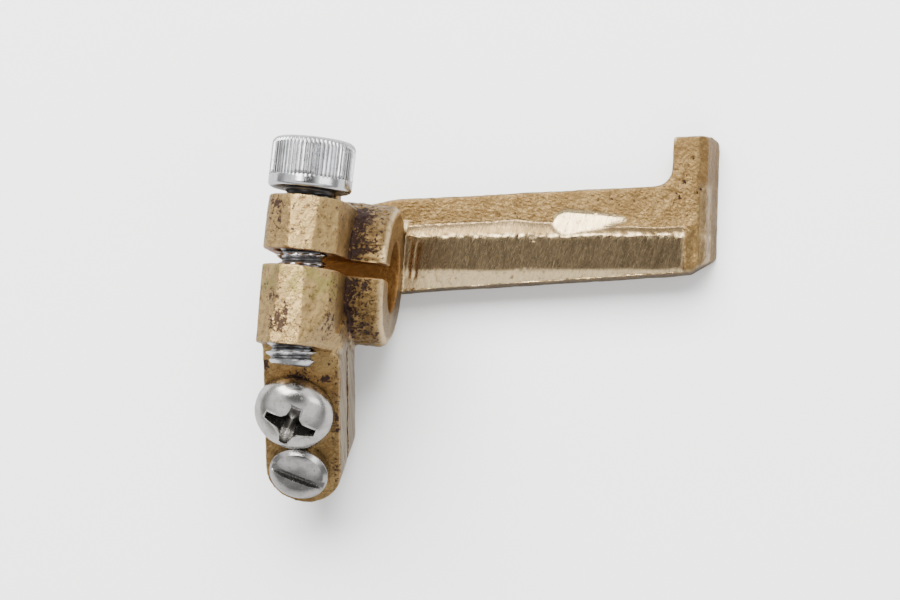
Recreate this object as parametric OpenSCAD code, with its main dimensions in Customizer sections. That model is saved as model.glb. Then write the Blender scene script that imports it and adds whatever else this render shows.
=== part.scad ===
// Split clamp arm: a cast brass arm with a split rod clamp, a sawn tongue and its three screws.
// Frame: +X along the bore towards the arm, +Y along the clamp screw towards its head,
// +Z up from the surface that the part lies on. Origin on the bore's axis, at its mid length.

/* [Barrel] */
// Outer diameter of the barrel around the bore
barrel_d = 11.9; // [10.5:0.1:14.5]
// Length of the barrel along the bore
barrel_len = 9.6; // [8:0.1:11.6]
// Diameter of the rod bore
bore_d = 5.95; // [4.9:0.05:6.5]
// Chamfer around the barrel's arm end
barrel_chamfer = 0.45; // [0.1:0.05:0.8]
// Width of the clamping slot
slot_w = 1.24; // [0.8:0.02:1.6]

/* [Jaws] */
// Width of the jaws along the bore, which is also the diameter of their round noses
jaw_w = 6.5; // [5.4:0.1:7.8]
// Height of the clamp screw's axis above the bore's axis
screw_h = 9.0; // [8.4:0.1:10.8]
// Height of the upper jaw's spot face above the bore's axis, along Y
upper_jaw = 5.1; // [4.2:0.1:6.2]
// Height of the wall that the spot face leaves behind the head, along Y
jaw_wall = 7.0; // [6.4:0.1:8]
// Radial clearance between the screw's head and that wall
head_clearance = 0.22; // [0.1:0.02:0.3]
// Depth of the lower jaw's bottom face below the bore's axis, along Y
lower_jaw = 7.05; // [6.2:0.05:8.5]

/* [Tongue] */
// Tilt of the tongue's front face from level
tongue_tilt = 36.5; // [32:0.5:40]
// Distance of the tongue's front face from the bore's axis
tongue_front = 9.86; // [9.4:0.02:10.2]
// Width of the tongue
tongue_w = 6.45; // [5.6:0.05:6.7]
// Thickness of the tongue over both leaves
tongue_t = 6.8; // [5.3:0.02:7.6]
// Reach of the tongue's round end, along the tongue from the level of the bore's axis
tongue_reach = 17.2; // [16.2:0.02:19]
// Offset of the tongue's centre line from the jaws' centre line
tongue_shift = 0.35; // [0:0.05:0.6]
// Width of the saw cut between the leaves
saw_w = 0.45; // [0.3:0.05:0.6]
// Start of the saw cut, along the tongue
saw_start = 3.6; // [3:0.1:5]

/* [Arm] */
// Length of the arm past the barrel
arm_len = 26.9; // [22:0.1:32]
// Angle between the arm and the bore
arm_rise = 8.4; // [5:0.1:11]
// Height of the arm at the barrel
arm_root_h = 8.0; // [6.6:0.1:8.6]
// Height of the arm at the tab
arm_end_h = 7.5; // [6.2:0.1:8.6]
// Rise of the tab above the arm
tab_h = 4.1; // [2.4:0.1:6]
// Thickness of the tab
tab_t = 3.8; // [2.8:0.1:4.4]
// Lean of the tab away from square
tab_lean = 4; // [0:0.5:6]
// Length of the arm's ground front past the barrel
ground_len = 23.9; // [16:0.1:24]

/* [Clamp screw] */
// Thread diameter of the clamp screw
clamp_d = 4.17; // [3.4:0.01:4.3]
// Length of the clamp screw under its head
clamp_len = 14.29; // [13.2:0.01:15.2]
// Gap between the head and the upper jaw, with the screw backed off
head_gap = 0.6; // [0.2:0.05:0.8]
// Diameter of the socket head
cap_d = 6.86; // [6.2:0.02:7.2]
// Height of the socket head
cap_h = 4.17; // [3.6:0.01:4.6]
// Width of the hexagon socket across its flats
hex_w = 3.57; // [2.8:0.01:3.8]

/* [Tongue screws] */
// Thread diameter of the pan head screw
pan_d = 3.5; // [2.9:0.01:3.6]
// Diameter of the pan head
pan_head_d = 6.66; // [5.6:0.02:6.7]
// Height of the pan head
pan_head_h = 2.46; // [2:0.02:2.7]
// Place of the pan head screw along the tongue
pan_at = 7.65; // [7.35:0.05:7.7]
// Offset of the pan head screw from the tongue's centre line
pan_shift = -0.55; // [-0.8:0.05:0]
// Thread diameter of the slotted screw
small_d = 3.17; // [2.6:0.01:3.2]
// Diameter of the slotted head
small_head_d = 5.04; // [4.4:0.02:5.1]
// Height of the slotted head's side wall
small_head_h = 1.25; // [1:0.05:1.6]
// Place of the slotted screw along the tongue
small_at = 13.6; // [13.6:0.05:13.9]
// Offset of the slotted screw from the tongue's centre line
small_shift = -0.2; // [-0.5:0.05:0]
// Length of both tongue screws under their heads
tongue_screw_len = 6.35; // [5.4:0.05:7.6]

/* [Hidden] */
$fn = 96;
cut = 1;                                   // how far a cutter runs past a face
thread_gap = 0.04;                         // radial running clearance of a screw in its hole
shank_gap = 0.17;                          // radial clearance in the jaw and leaf that have no thread
arm_gap = 0.5;                             // clearance between the rod and the arm's crown
coarse_pitch = 0.794;                      // 32 threads per inch
fine_pitch = 0.635;                        // 40 threads per inch

// Ring thread, in parts of its pitch
crest_w = 0.10;
root_from = 0.44;
root_to = 0.66;
root_deep = 0.6;

screw_x = jaw_w / 2 - barrel_len / 2;      // the jaws are flush with the barrel's far end
tongue_x = screw_x + tongue_shift;
tongue_end = tongue_reach - tongue_w / 2;  // centre of the round end
tongue_back = tongue_front - tongue_t;
crown_z = -bore_d / 2 - arm_gap;
// The arm's back is level with the lowest point of the tongue, so the part lies steadily.
rest_z = tongue_back * cos(tongue_tilt) - tongue_reach * sin(tongue_tilt);

// Section of the arm's ground front, as [across, below the crown]
ridge_y = 3.75;                            // the ridge's height where it meets the barrel
ridge_rise = 5.6;                          // angle between the ridge and the bore
bevel_w = 1.0;
ground_runout = 0.6;                       // length over which the ground crown ends
bevel_drop = 0.5;
face_w = 3.1;
face_drop = 0.36;
facet_w = 3.0;
facet_drop = 1.85;

// The wall behind the head, as heights above the bore's axis and a width across the jaw
wall_foot_z = 3.2;
wall_top_z = 4.3;
wall_inset = 0.8;                          // at the barrel's far end
wall_short = 1.45;                         // at the arm's side

// Outline of the arm, in a frame turned by arm_rise
arm_foot = 0.9;                            // how far the arm's lower edge is below the bore's axis
foot_rise = 0.45;                          // rise of the lower edge along the arm
heel = 2.2;                                // length of the sloping lower corner
heel_h = 0.95;
heel_blunt = [0.15, 0.25];                 // the small flat at the heel's outer corner
root_short = 0.4;                          // the arm's root stops this far inside the barrel's end
root_back = 2.2;                           // where the arm's upper edge starts to fall to the root
root_fall = 0.3;
root_top = 4;
tab_fillet = 1.5;
tab_round = 0.6;
tab_top = arm_end_h - arm_foot + foot_rise + tab_h;
end_chamfer = 0.65;
end_draft = 0.8;
end_edge = 0.1;                            // start of the end's draft, and its depth under the bevel
end_edge_drop = 0.6;
end_flat = 0.2;

// Ring threads: [radius, distance down the shank] for one screw, from its head to its tip
function thread_profile(r, pitch, len) =
    let(n = floor(len / pitch) - 1, depth = root_deep * pitch)
    concat(
        [[0, 0], [r, 0]],
        [for (i = [0:n - 1]) each [
            [r, -(i + crest_w) * pitch],
            [r - depth, -(i + root_from) * pitch],
            [r - depth, -(i + root_to) * pitch],
            [r, -(i + 1) * pitch]
        ]],
        [[r, -len + depth], [r - depth, -len], [0, -len]]
    );

// Side of a domed head: an arc that falls from its centre height to rim_h at radius r
function dome(r, rim_h, top_h, steps) =
    let(rise = top_h - rim_h, ball = (r * r + rise * rise) / (2 * rise), half = asin(r / ball))
    [for (i = [0:steps]) let(a = half * i / steps) [ball * sin(a), top_h - ball + ball * cos(a)]];

// Points of a quarter arc around [x, y]
function arc(x, y, r, from, to, steps) =
    [for (i = [0:steps]) let(a = from + (to - from) * i / steps) [x + r * cos(a), y + r * sin(a)]];

module thread(d, pitch, len) {
    rotate_extrude() polygon(thread_profile(d / 2, pitch, len));
}

// Carries a child from the tongue's own frame: x across, -y along the tongue, z out of its front
module in_tongue(at = 0, shift = 0) {
    rotate([tongue_tilt, 0, 0]) translate([tongue_x + shift, -at, tongue_front]) children();
}

module along_y(x, z, from, to, r) {
    translate([x, to, z]) rotate([90, 0, 0]) cylinder(r = r, h = to - from);
}

module barrel() {
    rotate([0, 90, 0]) translate([0, 0, -barrel_len / 2]) {
        cylinder(d = barrel_d, h = barrel_len - barrel_chamfer);
        translate([0, 0, barrel_len - barrel_chamfer])
            cylinder(d1 = barrel_d, d2 = barrel_d - 2 * barrel_chamfer, h = barrel_chamfer);
    }
}

module jaws() {
    translate([0, upper_jaw, 0]) rotate([90, 0, 0]) linear_extrude(upper_jaw + lower_jaw) {
        translate([screw_x - jaw_w / 2, 0]) square([jaw_w, screw_h]);
        translate([screw_x, screw_h]) circle(d = jaw_w);
    }
    head_wall();
}

// The part of the upper jaw that its spot face leaves standing behind the head
module head_wall() {
    difference() {
        translate([screw_x - jaw_w / 2 + wall_inset, 0, 0]) rotate([90, 0, 90])
            linear_extrude(jaw_w - wall_inset - wall_short) polygon([
                [upper_jaw - cut, wall_foot_z],
                [upper_jaw, wall_foot_z],
                [jaw_wall, wall_top_z],
                [jaw_wall, screw_h],
                [upper_jaw - cut, screw_h]
            ]);
        along_y(screw_x, screw_h, upper_jaw, jaw_wall + cut, cap_d / 2 + head_clearance);
    }
}

module tongue() {
    in_tongue() translate([0, 0, -tongue_t]) linear_extrude(tongue_t) {
        translate([-tongue_w / 2, -tongue_end]) square([tongue_w, tongue_end]);
        translate([0, -tongue_end]) circle(d = tongue_w);
    }
}

module arm_outline() {
    lean = tan(tab_lean);
    left = arm_len + lean * arm_end_h - tab_t;
    right = arm_len + lean * tab_top;
    arm_top = arm_end_h - arm_foot + foot_rise;
    polygon(concat(
        [[-barrel_len + root_short, -arm_foot], [arm_len - heel, -arm_foot + foot_rise]],
        [[arm_len - heel_blunt[0], heel_h - heel_blunt[1]], [arm_len, heel_h]],
        arc(right - tab_round, tab_top - tab_round, tab_round, 0, 90, 6),
        [[left + lean * tab_h, tab_top]],
        arc(left - tab_fillet, arm_top + tab_fillet, tab_fillet, 0, -90, 8),
        [[0, arm_root_h - arm_foot], [-root_back, arm_root_h - arm_foot - root_fall]],
        [[-barrel_len + root_short, root_top]]
    ));
}

// The arm's ground front: an upper bevel, a main face and a lower facet, either side of a ridge
module arm_section() {
    back = crown_z - rest_z;
    polygon([
        [tab_top + ridge_y, -bevel_drop],
        [bevel_w, -bevel_drop],
        [0, 0],
        [-face_w, -face_drop],
        [-face_w - facet_w, -facet_drop],
        [-face_w - facet_w, -back],
        [tab_top + ridge_y, -back]
    ]);
}

module arm_end_cutter() {
    back = crown_z - rest_z;
    rotate([90, 0, 0]) translate([0, 0, -2 * tab_top]) linear_extrude(4 * tab_top) polygon([
        [-end_chamfer - end_flat, cut],
        [-end_chamfer - end_flat, -bevel_drop],
        [-end_edge, -bevel_drop - end_edge_drop],
        [end_draft, -back],
        [end_draft + 2 * cut, -back],
        [end_draft + 2 * cut, cut]
    ]);
}

// Ends the ground crown short of the tab, so the tab's front stays as cast
module ground_end_cutter() {
    rotate([90, 0, 0]) translate([0, 0, -2 * tab_top]) linear_extrude(4 * tab_top) polygon([
        [0, 0],
        [ground_runout, -bevel_drop],
        [arm_len, -bevel_drop],
        [arm_len, cut],
        [0, cut]
    ]);
}

module arm() {
    difference() {
        intersection() {
            translate([barrel_len / 2, 0, rest_z])
                rotate([0, 0, arm_rise]) linear_extrude(crown_z - rest_z) arm_outline();
            translate([barrel_len / 2, ridge_y, crown_z]) rotate([0, 0, ridge_rise])
                rotate([90, 0, 90]) translate([0, 0, -2 * barrel_len])
                linear_extrude(2 * barrel_len + 2 * arm_len) arm_section();
        }
        translate([barrel_len / 2, 0, crown_z]) rotate([0, 0, arm_rise - tab_lean])
            translate([arm_len - end_draft, 0, 0]) arm_end_cutter();
        translate([barrel_len / 2 + ground_len, 0, crown_z]) ground_end_cutter();
    }
}

module holes() {
    rotate([0, 90, 0]) translate([0, 0, -barrel_len / 2 - cut])
        cylinder(d = bore_d, h = barrel_len + 2 * cut);
    translate([-barrel_len / 2 - cut, -slot_w / 2, 0])
        cube([barrel_len + 2 * cut, slot_w, screw_h + jaw_w]);
    along_y(screw_x, screw_h, 0, upper_jaw + cut, clamp_d / 2 + shank_gap);
    along_y(screw_x, screw_h, -lower_jaw - 2 * cut, 0, clamp_d / 2 + thread_gap);
    in_tongue() translate([-tongue_w, -tongue_reach - cut, -tongue_t / 2 - saw_w / 2])
        cube([2 * tongue_w, tongue_reach + cut - saw_start, saw_w]);
    in_tongue(pan_at, pan_shift) tongue_hole(pan_d);
    in_tongue(small_at, small_shift) tongue_hole(small_d);
}

// Threaded through the rear leaf, and clear of the thread through the front leaf
module tongue_hole(d) {
    translate([0, 0, -tongue_t - cut]) cylinder(r = d / 2 + thread_gap, h = tongue_t + cut);
    translate([0, 0, -tongue_t / 2]) cylinder(r = d / 2 + shank_gap, h = tongue_t / 2 + cut);
}

module clamp_arm() {
    color("#b79f78") difference() {
        union() {
            barrel();
            jaws();
            tongue();
            arm();
        }
        holes();
    }
}

module clamp_screw() {
    edge = 0.5;
    socket_depth = cap_h / 2;
    color("#c9cacc") translate([screw_x, upper_jaw + head_gap, screw_h]) rotate([-90, 0, 0]) {
        thread(clamp_d, coarse_pitch, clamp_len);
        difference() {
            union() {
                cylinder(d = cap_d, h = cap_h - edge);
                translate([0, 0, cap_h - edge]) cylinder(d1 = cap_d, d2 = cap_d - 2 * edge, h = edge);
            }
            translate([0, 0, cap_h - socket_depth])
                cylinder(d = 2 * hex_w / sqrt(3), h = socket_depth + cut, $fn = 6);
        }
    }
}

module pan_screw() {
    rim_h = 0.7;
    recess_w = 4.0;
    recess_t = 0.9;
    recess_depth = 1.7;
    recess_turn = -17;
    color("#9b9894") in_tongue(pan_at, pan_shift) {
        thread(pan_d, coarse_pitch, tongue_screw_len);
        difference() {
            rotate_extrude() polygon(concat(
                [[0, 0]], dome(pan_head_d / 2, rim_h, pan_head_h, 16), [[pan_head_d / 2, 0]]
            ));
            for (turn = [0, 90]) {
                rotate([90, 0, recess_turn + turn]) translate([0, pan_head_h - recess_depth, -recess_t / 2])
                    linear_extrude(recess_t) polygon([
                        [-recess_w / 4, 0],
                        [recess_w / 4, 0],
                        [recess_w / 2, recess_depth],
                        [recess_w / 2, recess_depth + cut],
                        [-recess_w / 2, recess_depth + cut],
                        [-recess_w / 2, recess_depth]
                    ]);
            }
        }
    }
}

module slotted_screw() {
    slot_t = 0.8;
    slot_depth = 0.85;
    slot_turn = -16;
    dome_h = 0.35;
    top = small_head_h + dome_h;
    color("#85837f") in_tongue(small_at, small_shift) {
        thread(small_d, fine_pitch, tongue_screw_len);
        difference() {
            rotate_extrude() polygon(concat(
                [[0, 0]], dome(small_head_d / 2, small_head_h, top, 8), [[small_head_d / 2, 0]]
            ));
            rotate([0, 0, slot_turn]) translate([-small_head_d, -slot_t / 2, top - slot_depth])
                cube([2 * small_head_d, slot_t, slot_depth + cut]);
        }
    }
}

clamp_arm();
clamp_screw();
pan_screw();
slotted_screw();
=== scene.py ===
import math

import bmesh
import bpy
import numpy as np
from mathutils import Matrix, Vector


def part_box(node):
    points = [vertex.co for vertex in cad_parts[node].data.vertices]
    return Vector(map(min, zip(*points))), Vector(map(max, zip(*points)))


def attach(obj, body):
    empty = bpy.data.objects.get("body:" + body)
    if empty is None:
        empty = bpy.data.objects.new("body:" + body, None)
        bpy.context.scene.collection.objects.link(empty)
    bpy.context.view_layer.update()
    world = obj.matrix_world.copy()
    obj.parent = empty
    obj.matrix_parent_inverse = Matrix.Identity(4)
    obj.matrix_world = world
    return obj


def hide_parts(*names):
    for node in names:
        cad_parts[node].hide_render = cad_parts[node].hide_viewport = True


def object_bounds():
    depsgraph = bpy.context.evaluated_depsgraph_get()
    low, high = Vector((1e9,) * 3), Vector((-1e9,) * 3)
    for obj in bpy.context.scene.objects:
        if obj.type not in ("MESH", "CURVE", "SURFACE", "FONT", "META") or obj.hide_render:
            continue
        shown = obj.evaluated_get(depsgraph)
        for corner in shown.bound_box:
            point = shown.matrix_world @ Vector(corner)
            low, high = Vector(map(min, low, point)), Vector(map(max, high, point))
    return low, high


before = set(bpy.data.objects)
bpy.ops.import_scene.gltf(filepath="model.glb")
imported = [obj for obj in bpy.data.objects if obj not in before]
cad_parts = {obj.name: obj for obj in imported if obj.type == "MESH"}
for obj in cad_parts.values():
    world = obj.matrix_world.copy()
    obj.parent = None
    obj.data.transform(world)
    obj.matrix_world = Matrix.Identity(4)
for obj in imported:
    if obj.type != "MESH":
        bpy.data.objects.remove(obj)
cadBounds = [list(corner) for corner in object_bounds()]
mm = 0.001
print("frame loaded")

# camera, floor and light

studio = {
    "cameraPlace": (40.12, -17.34, 234.15),   # mm
    "cameraTurn": (4.613, 6.947, 6.109),      # degrees
    "lens": 112.67,
    "floorSize": 1600.0,
    "floorColor": (0.80, 0.80, 0.80),
    # sky brightness low down, half way, straight up, and what the far side adds; floor seen in gloss
    "skyLow": 0.40,
    "skyMiddle": 1.35,
    "skyHigh": 0.07,
    "skyFar": 0.45,
    "floorSheen": 0.42,
    # name: direction from the part, distance and size in mm, watts, colour, what it lights
    "lamps": {
        "roomKey": ((-0.15, 0.60, 0.78), 420, (430, 330), 9.6, (1.0, 0.99, 0.985), "matt"),
        "roomFill": ((0.25, -0.62, 0.74), 460, (520, 420), 1.3, (1.0, 1.0, 1.0), "matt"),
        "sheenKey": ((-0.36, 0.50, 0.79), 420, (270, 360), 3.1, (1.0, 0.985, 0.96), "shiny"),
        "sheenSide": ((0.72, 0.10, 0.60), 430, (130, 260), 0.30, (0.97, 0.98, 1.0), "shiny"),
    },
    "aim": (6, 0, 0),
}


def makeCamera():
    lens = bpy.data.cameras.new("camera")
    lens.lens = studio["lens"]
    lens.sensor_width = 36
    lens.clip_start = 0.01
    lens.clip_end = 10
    camera = bpy.data.objects.new("camera", lens)
    camera.location = [c * mm for c in studio["cameraPlace"]]
    camera.rotation_euler = [math.radians(a) for a in studio["cameraTurn"]]
    bpy.context.scene.collection.objects.link(camera)
    bpy.context.scene.camera = camera


def makeLamps():
    aim = Vector(studio["aim"]) * mm
    for name, (way, far, size, watts, color, lights) in studio["lamps"].items():
        lamp = bpy.data.lights.new(name, "AREA")
        lamp.shape = "RECTANGLE"
        lamp.size, lamp.size_y = [s * mm for s in size]
        lamp.energy = watts
        lamp.color = color
        holder = bpy.data.objects.new(name, lamp)
        holder.visible_glossy = lights == "shiny"
        holder.visible_diffuse = lights == "matt"
        holder.location = aim + Vector(way).normalized() * far * mm
        holder.rotation_euler = (aim - holder.location).to_track_quat("-Z", "Y").to_euler()
        bpy.context.scene.collection.objects.link(holder)


# node helpers

def addNode(tree, kind, values=None, **settings):
    made = tree.nodes.new(kind)
    for key, value in settings.items():
        setattr(made, key, value)
    for key, value in (values or {}).items():
        if isinstance(value, bpy.types.NodeSocket):
            tree.links.new(value, made.inputs[key])
        else:
            made.inputs[key].default_value = value
    return made


def math2(tree, operation, a, b=0.0, clamp=False):
    return addNode(tree, "ShaderNodeMath", {0: a, 1: b}, operation=operation, use_clamp=clamp).outputs[0]


def remap(tree, value, low, high, toLow=0.0, toHigh=1.0):
    made = addNode(tree, "ShaderNodeMapRange", {"Value": value, "From Min": low, "From Max": high,
                   "To Min": toLow, "To Max": toHigh}, interpolation_type="SMOOTHSTEP")
    return made.outputs["Result"]


def mixColor(tree, amount, a, b, blend="MIX"):
    made = addNode(tree, "ShaderNodeMix", data_type="RGBA", blend_type=blend)
    for key, value in ((0, amount), (6, a), (7, b)):
        if isinstance(value, bpy.types.NodeSocket):
            tree.links.new(value, made.inputs[key])
        else:
            made.inputs[key].default_value = value if key == 0 else (*value, 1)
    return made.outputs[2]


def millimetres(tree):
    place = addNode(tree, "ShaderNodeTexCoord").outputs["Object"]
    return addNode(tree, "ShaderNodeMapping", {"Vector": place, "Scale": (1000, 1000, 1000)}).outputs[0]


def stretched(tree, vector, scale, turn=(0, 0, 0)):
    turned = addNode(tree, "ShaderNodeMapping", {"Vector": vector,
                     "Rotation": [math.radians(a) for a in turn]}).outputs[0]
    return addNode(tree, "ShaderNodeMapping", {"Vector": turned, "Scale": scale}).outputs[0]


def noise(tree, vector, scale, detail=3.0, rough=0.55):
    made = addNode(tree, "ShaderNodeTexNoise", {"Vector": vector, "Scale": scale,
                   "Detail": detail, "Roughness": rough})
    return made.outputs[0]


def newGroup(name, inputs, outputs):
    tree = bpy.data.node_groups.new(name, "ShaderNodeTree")
    for label, kind, value in inputs:
        socket = tree.interface.new_socket(label, in_out="INPUT", socket_type=kind)
        if value is not None:
            socket.default_value = value
    for label, kind in outputs:
        tree.interface.new_socket(label, in_out="OUTPUT", socket_type=kind)
    return tree, tree.nodes.new("NodeGroupInput").outputs, tree.nodes.new("NodeGroupOutput").inputs


def useGroup(tree, group, values):
    return addNode(tree, "ShaderNodeGroup", values, node_tree=group).outputs


# Dark oxide specks: a fine noise cut at a level that falls from 0.68 to 0.40 as the cover grows
def specksGroup():
    tree, given, out = newGroup("oxideSpecks", [
        ("Vector", "NodeSocketVector", None), ("Size", "NodeSocketFloat", 0.3),
        ("Cover", "NodeSocketFloat", 0.4)], [("Mask", "NodeSocketFloat")])
    fine = noise(tree, given["Vector"], math2(tree, "DIVIDE", 0.7, given["Size"]), 5.0, 0.68)
    level = addNode(tree, "ShaderNodeMapRange", {"Value": given["Cover"], "To Min": 0.68,
                    "To Max": 0.40}).outputs[0]
    tree.links.new(remap(tree, math2(tree, "SUBTRACT", fine, level), -0.015, 0.03), out["Mask"])
    return tree


# Fine parallel strokes: 0.6 * fine noise + 0.7 * wide noise, both stretched 25-fold along one axis
def strokesGroup():
    tree, given, out = newGroup("fileStrokes", [
        ("Vector", "NodeSocketVector", None), ("Pitch", "NodeSocketFloat", 0.1)],
        [("Height", "NodeSocketFloat"), ("Coarse", "NodeSocketFloat")])
    thin = stretched(tree, given["Vector"], (1, 0.04, 1))
    fine = noise(tree, thin, math2(tree, "DIVIDE", 1.0, given["Pitch"]), 3.0, 0.7)
    wide = noise(tree, thin, math2(tree, "DIVIDE", 0.28, given["Pitch"]), 2.0, 0.5)
    height = math2(tree, "ADD", math2(tree, "MULTIPLY", fine, 0.6), math2(tree, "MULTIPLY", wide, 0.7))
    tree.links.new(height, out["Height"])
    tree.links.new(wide, out["Coarse"])
    return tree


specks = specksGroup()
strokes = strokesGroup()


def strokesAt(tree, place, turn, pitch):
    return useGroup(tree, strokes, {"Vector": stretched(tree, place, (1, 1, 1), turn), "Pitch": pitch})


def newMaterial(name, viewColor):
    material = bpy.data.materials.new(name)
    material.use_nodes = True
    material.diffuse_color = (*viewColor, 1)
    tree = material.node_tree
    tree.nodes.clear()
    shader = tree.nodes.new("ShaderNodeBsdfPrincipled")
    tree.links.new(shader.outputs[0], tree.nodes.new("ShaderNodeOutputMaterial").inputs[0])
    return material, tree, shader


def finishMaterial(tree, shader, color, rough, height, distance, metallic=1.0):
    tree.links.new(color, shader.inputs["Base Color"])
    tree.links.new(rough, shader.inputs["Roughness"])
    shader.inputs["Metallic"].default_value = metallic
    bump = addNode(tree, "ShaderNodeBump", {"Height": height, "Strength": 1.0, "Distance": distance})
    tree.links.new(bump.outputs[0], shader.inputs["Normal"])


brass = {
    "cast": (0.190, 0.117, 0.045),
    "castPale": (0.440, 0.294, 0.122),
    "sawn": (0.44, 0.360, 0.250),
    "filed": (0.76, 0.520, 0.215),
    "ground": (0.50, 0.358, 0.200),
    # dark tone of the bevel's painted shade
    "bevel": (0.215, 0.142, 0.062),
    # bright brass of worn edges, also the colour of painted highlights
    "wornAndSheen": (0.86, 0.660, 0.370),
    # dark oxide, also the painted shade in the saw cut
    "oxideAndShade": (0.046, 0.027, 0.031),
    # brown of stains, also used for painted shade
    "stainAndShade": (0.32, 0.145, 0.036),
    "patina": (0.30, 0.31, 0.07),
}


# zones holds the filed, ground, stain-and-shade and wear-and-highlight amounts; marks holds soot (with the
# saw cut's painted shade), the pale tone with the bevel's painted shade, patina and sawn, from the casting
def brassMaterial():
    material, tree, shader = newMaterial("castBrass", brass["cast"])
    place = millimetres(tree)
    zones = addNode(tree, "ShaderNodeAttribute", attribute_name="zones").outputs["Color"]
    wearAndSheen = zones.node.outputs["Alpha"]
    filed, ground, stainAndShade = addNode(tree, "ShaderNodeSeparateColor", {"Color": zones}).outputs
    marks = addNode(tree, "ShaderNodeAttribute", attribute_name="marks").outputs["Color"]
    sawn = marks.node.outputs["Alpha"]
    sootAndShade, paleAndBevelShade, patina = addNode(tree, "ShaderNodeSeparateColor", {"Color": marks}).outputs

    mottle = noise(tree, place, 2.2, 5.0, 0.6)
    ripple = strokesAt(tree, place, (0, 0, 38), 0.30)
    swept = addNode(tree, "ShaderNodeMapping", {"Vector": place, "Location": (-9, 22, 4)}).outputs[0]
    chatter = addNode(tree, "ShaderNodeTexWave", {"Vector": swept, "Scale": 0.92, "Distortion": 5.0,
                      "Detail": 3.0, "Detail Scale": 1.6}, wave_type="RINGS",
                      rings_direction="SPHERICAL").outputs["Fac"]
    fleck = noise(tree, place, 6.5, 3.0, 0.6)
    tone = math2(tree, "ADD", math2(tree, "MULTIPLY", mottle, 0.42),
                 math2(tree, "MULTIPLY", ripple["Coarse"], 0.25))
    tone = math2(tree, "ADD", tone, math2(tree, "MULTIPLY", fleck, 0.33))
    tone = math2(tree, "ADD", tone, math2(tree, "MULTIPLY", chatter, 0.03))
    tone = math2(tree, "ADD", tone, math2(tree, "SUBTRACT", math2(tree, "MULTIPLY", paleAndBevelShade, 0.12), 0.04))
    color = mixColor(tree, remap(tree, tone, 0.42, 0.68), brass["cast"], brass["castPale"])
    scratch = strokesAt(tree, place, (0, 0, 32), 0.20)
    filedTone = mixColor(tree, remap(tree, scratch["Coarse"], 0.38, 0.62), brass["castPale"], brass["filed"])
    patchyFiled = math2(tree, "MULTIPLY", filed, remap(tree, mottle, 0.34, 0.58, 0.10, 1.0))
    color = mixColor(tree, patchyFiled, color, filedTone)
    across = strokesAt(tree, place, (0, 0, 12), 0.07)
    groundTone = mixColor(tree, remap(tree, across["Height"], 0.56, 0.76), brass["ground"],
                          tuple(c * 0.45 for c in brass["ground"]))
    # painted shade on the bevel, set by the pale channel, towards the ridge
    groundTone = mixColor(tree, paleAndBevelShade, groundTone, brass["bevel"])
    color = mixColor(tree, ground, color, groundTone)

    drawn = strokesAt(tree, place, (-53.5, 0, 0), 0.06)
    sawnTone = mixColor(tree, remap(tree, drawn["Coarse"], 0.30, 0.60), brass["cast"], brass["sawn"])
    color = mixColor(tree, sawn, color, sawnTone)

    # patina in soft patches; brown stains in listed places, and painted shade on the slit, bore, hollows and
    # the arm's end; dark oxide where the soot is thick, and as painted shade in the saw cut
    patches = math2(tree, "MULTIPLY", patina, remap(tree, noise(tree, place, 0.9, 3.0), 0.40, 0.60))
    color = mixColor(tree, math2(tree, "MULTIPLY", patches, 0.4), color, brass["patina"])
    uneven = math2(tree, "MULTIPLY", stainAndShade, remap(tree, mottle, 0.2, 0.55, 0.45, 1.0))
    color = mixColor(tree, uneven, color, brass["stainAndShade"])
    # bright worn colour on worn edges, and painted highlights from the wear channel
    bright = math2(tree, "MULTIPLY", wearAndSheen, remap(tree, mottle, 0.28, 0.48))
    color = mixColor(tree, bright, color, brass["wornAndSheen"])
    dark = useGroup(tree, specks, {"Vector": place, "Size": 0.18, "Cover": sootAndShade})["Mask"]
    blotCover = math2(tree, "SUBTRACT", sootAndShade, 0.06)
    blots = useGroup(tree, specks, {"Vector": place, "Size": 0.48, "Cover": blotCover})["Mask"]
    dark = math2(tree, "MAXIMUM", dark, blots)
    color = mixColor(tree, math2(tree, "MULTIPLY", dark, 0.90), color, brass["oxideAndShade"])

    rough = math2(tree, "MULTIPLY_ADD", mottle, 0.26)
    rough.node.inputs[2].default_value = 0.20
    rough = math2(tree, "SUBTRACT", rough, math2(tree, "MULTIPLY", filed, 0.05))
    brushed = remap(tree, across["Coarse"], 0.3, 0.7, 0.17, 0.33)
    rough = addNode(tree, "ShaderNodeMix", {0: ground, 2: rough, 3: brushed}).outputs[0]
    rough = math2(tree, "ADD", rough, math2(tree, "MULTIPLY", dark, 0.30), clamp=True)

    grain = noise(tree, place, 8.0, 4.0, 0.65)
    dints = noise(tree, place, 2.8, 2.0, 0.5)
    grain = math2(tree, "ADD", grain, math2(tree, "MULTIPLY", dints, 1.6))
    height = math2(tree, "ADD", math2(tree, "MULTIPLY", grain, 0.8),
                   math2(tree, "MULTIPLY", ripple["Height"], 0.3))
    height = math2(tree, "ADD", height, math2(tree, "MULTIPLY", chatter, 0.10))
    height = math2(tree, "SUBTRACT", height, math2(tree, "MULTIPLY", dark, 0.5))
    filedHeight = math2(tree, "ADD", math2(tree, "MULTIPLY", scratch["Height"], 1.1),
                        math2(tree, "MULTIPLY", grain, 0.75))
    groundHeight = math2(tree, "MULTIPLY", across["Height"], 0.34)
    height = addNode(tree, "ShaderNodeMix", {0: filed, 2: height, 3: filedHeight}).outputs[0]
    height = addNode(tree, "ShaderNodeMix", {0: ground, 2: height, 3: groundHeight}).outputs[0]
    finishMaterial(tree, shader, color, rough, height, 0.075 * mm)
    return material


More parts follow.
